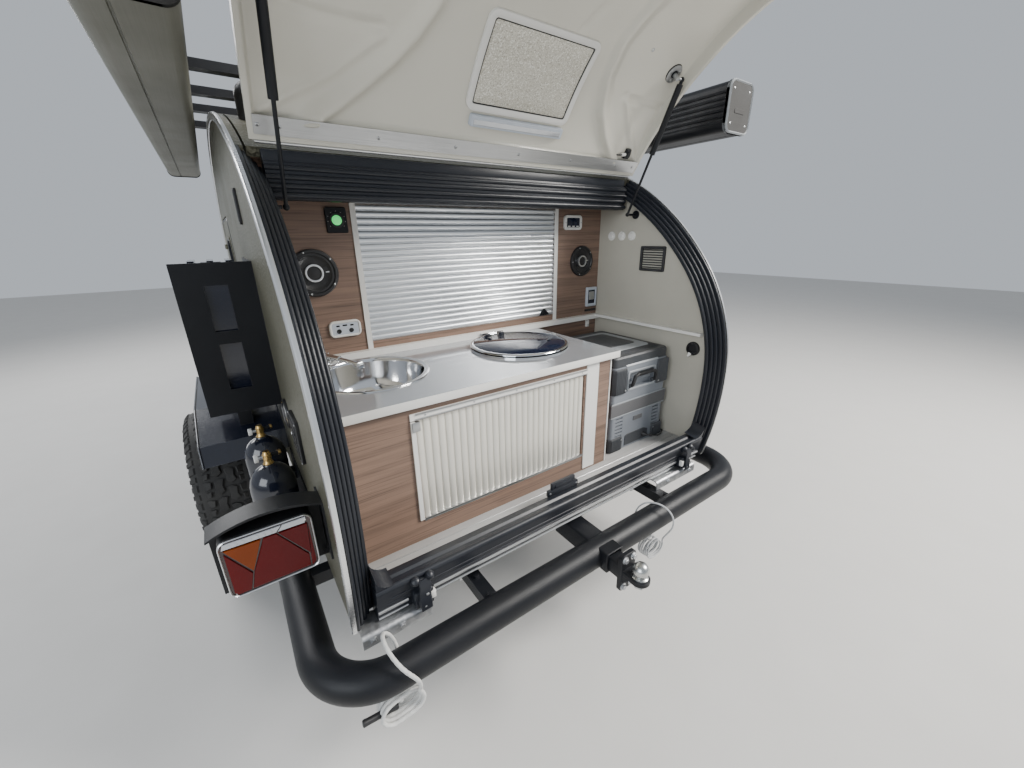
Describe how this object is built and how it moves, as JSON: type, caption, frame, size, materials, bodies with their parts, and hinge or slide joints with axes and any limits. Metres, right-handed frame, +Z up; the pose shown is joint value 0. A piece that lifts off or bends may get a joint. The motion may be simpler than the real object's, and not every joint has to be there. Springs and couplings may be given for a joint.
{
  "type": "teardrop camping trailer",
  "caption": "Small off-road camping trailer with a curved body, a rear galley under a hinged lid, side doors, fenders and an A-shaped drawbar.",
  "frame": {"origin": "on the floor, at the middle of the overall box seen from above", "axes": "+X to the trailer's right, +Y forward along the drawbar, +Z up"},
  "size_m": [2.22, 4.4148, 2.2085],
  "materials": {
    "awnings": null,
    "axle_beam": null,
    "bulkhead": null,
    "bulkhead_trim": null,
    "bumper": null,
    "chassis_frame": null,
    "cooler_body": null,
    "cooler_lid": null,
    "counter_front": null,
    "counter_top": null,
    "counter_trim": null,
    "coupling_head": null,
    "door_left": null,
    "door_right": null,
    "door_window_left": null,
    "door_window_right": null,
    "edge_trims": null,
    "fenders": null,
    "floor": null,
    "front_shutter": null,
    "fuel_can": null,
    "gas_bottles": null,
    "hob": null,
    "hob_lid": null,
    "jockey_clamp": null,
    "jockey_fork": null,
    "jockey_tube": null,
    "jockey_wheel": null,
    "latches": null,
    "lid_fittings": null,
    "lid_panel": null,
    "lid_shell": null,
    "liners": null,
    "mattress": null,
    "opening_profile": null,
    "rim_left": null,
    "rim_right": null,
    "roof_bars": null,
    "roof_dome": null,
    "roof_skin": null,
    "rope_left": null,
    "rope_left_hank": null,
    "rope_right": null,
    "rope_right_hank": null,
    "side_brackets": null,
    "side_inlets": null,
    "side_walls": null,
    "sill_brackets": null,
    "sink": null,
    "strut_eyes": null,
    "strut_rod_left": null,
    "strut_rod_right": null,
    "strut_tube_left": null,
    "strut_tube_right": null,
    "tail_lamps": null,
    "tow_hitch": null,
    "tyre_left": null,
    "tyre_right": null,
    "upper_shutter": null,
    "wall_fittings": null
  },
  "bodies": {
    "trailer": {"awnings": "awnings", "axle_beam": "axle_beam", "bulkhead": "bulkhead", "bulkhead_trim": "bulkhead_trim", "bumper": "bumper", "chassis_frame": "chassis_frame", "cooler_body": "cooler_body", "counter_front": "counter_front", "counter_top": "counter_top", "counter_trim": "counter_trim", "coupling_head": "coupling_head", "edge_trims": "edge_trims", "fenders": "fenders", "floor": "floor", "front_shutter": "front_shutter", "fuel_can": "fuel_can", "gas_bottles": "gas_bottles", "hob": "hob", "jockey_clamp": "jockey_clamp", "latches": "latches", "liners": "liners", "mattress": "mattress", "opening_profile": "opening_profile", "roof_bars": "roof_bars", "roof_dome": "roof_dome", "roof_skin": "roof_skin", "rope_left": "rope_left", "rope_left_hank": "rope_left_hank", "rope_right": "rope_right", "rope_right_hank": "rope_right_hank", "side_brackets": "side_brackets", "side_inlets": "side_inlets", "side_walls": "side_walls", "sill_brackets": "sill_brackets", "sink": "sink", "strut_eyes": "strut_eyes", "tail_lamps": "tail_lamps", "tow_hitch": "tow_hitch", "upper_shutter": "upper_shutter", "wall_fittings": "wall_fittings"},
    "lid": {"lid_shell": "lid_shell", "lid_fittings": "lid_fittings", "lid_panel": "lid_panel"},
    "strut_cylinder_left": {"strut_tube_left": "strut_tube_left"},
    "strut_cylinder_right": {"strut_tube_right": "strut_tube_right"},
    "strut_piston_left": {"strut_rod_left": "strut_rod_left"},
    "strut_piston_right": {"strut_rod_right": "strut_rod_right"},
    "wheel_left": {"tyre_left": "tyre_left", "rim_left": "rim_left"},
    "wheel_right": {"tyre_right": "tyre_right", "rim_right": "rim_right"},
    "jockey_leg": {"jockey_tube": "jockey_tube"},
    "jockey_caster": {"jockey_fork": "jockey_fork"},
    "jockey_roller": {"jockey_wheel": "jockey_wheel"},
    "side_door_left": {"door_left": "door_left", "door_window_left": "door_window_left"},
    "side_door_right": {"door_right": "door_right", "door_window_right": "door_window_right"},
    "hob_cover": {"hob_lid": "hob_lid"},
    "cooler_cover": {"cooler_lid": "cooler_lid"}
  },
  "joints": [
    {"name": "lid_hinge", "type": "hinge", "parent": "trailer", "child": "lid", "pos_m": [0, -1.13, 1.69], "axis": [1, 0, 0], "range_deg": [0, 85]},
    {"name": "strut_pivot_left", "type": "hinge", "parent": "lid", "child": "strut_cylinder_left", "pos_m": [-0.662, -1.37602, 1.97302], "axis": [1, 0, 0], "range_deg": [-5.54, 0.1]},
    {"name": "strut_slide_left", "type": "slide", "parent": "strut_cylinder_left", "child": "strut_piston_left", "axis": [0, -0.4171, 0.9089], "range_m": [0, 0.2159]},
    {"name": "strut_pivot_right", "type": "hinge", "parent": "lid", "child": "strut_cylinder_right", "pos_m": [0.662, -1.37602, 1.97302], "axis": [1, 0, 0], "range_deg": [-5.54, 0.1]},
    {"name": "strut_slide_right", "type": "slide", "parent": "strut_cylinder_right", "child": "strut_piston_right", "axis": [0, -0.4171, 0.9089], "range_m": [0, 0.2159]},
    {"name": "wheel_spin_left", "type": "hinge", "parent": "trailer", "child": "wheel_left", "pos_m": [-0.9925, -0.28, 0.365], "axis": [1, 0, 0], "continuous": true},
    {"name": "door_hinge_left", "type": "hinge", "parent": "trailer", "child": "side_door_left", "pos_m": [-0.759, 0.74, 1.1], "axis": [0, 0, -1], "range_deg": [0, 95]},
    {"name": "wheel_spin_right", "type": "hinge", "parent": "trailer", "child": "wheel_right", "pos_m": [0.9925, -0.28, 0.365], "axis": [1, 0, 0], "continuous": true},
    {"name": "door_hinge_right", "type": "hinge", "parent": "trailer", "child": "side_door_right", "pos_m": [0.759, 0.74, 1.1], "axis": [0, 0, 1], "range_deg": [0, 95]},
    {"name": "jockey_lift", "type": "slide", "parent": "trailer", "child": "jockey_leg", "axis": [0, 0, 1], "range_m": [0, 0.2]},
    {"name": "jockey_swivel", "type": "hinge", "parent": "jockey_leg", "child": "jockey_caster", "pos_m": [0.215, 1.64, 0.25], "axis": [0, 0, 1], "continuous": true},
    {"name": "jockey_spin", "type": "hinge", "parent": "jockey_caster", "child": "jockey_roller", "pos_m": [0.215, 1.605, 0.105], "axis": [1, 0, 0], "continuous": true},
    {"name": "hob_cover_hinge", "type": "hinge", "parent": "trailer", "child": "hob_cover", "pos_m": [0.065, -0.997, 1.067], "axis": [-1, 0, 0], "range_deg": [0, 85]},
    {"name": "cooler_cover_hinge", "type": "hinge", "parent": "trailer", "child": "cooler_cover", "pos_m": [0.515, -1.042, 0.962], "axis": [-1, 0, 0], "range_deg": [0, 80]}
  ],
  "couplings": [
    {"joint": "strut_pivot_left", "follows": "lid_hinge", "ratio": -0.064048},
    {"joint": "strut_slide_left", "follows": "lid_hinge", "m_per_rad": 0.1452},
    {"joint": "strut_pivot_right", "follows": "lid_hinge", "ratio": -0.064048},
    {"joint": "strut_slide_right", "follows": "lid_hinge", "m_per_rad": 0.1452}
  ]
}
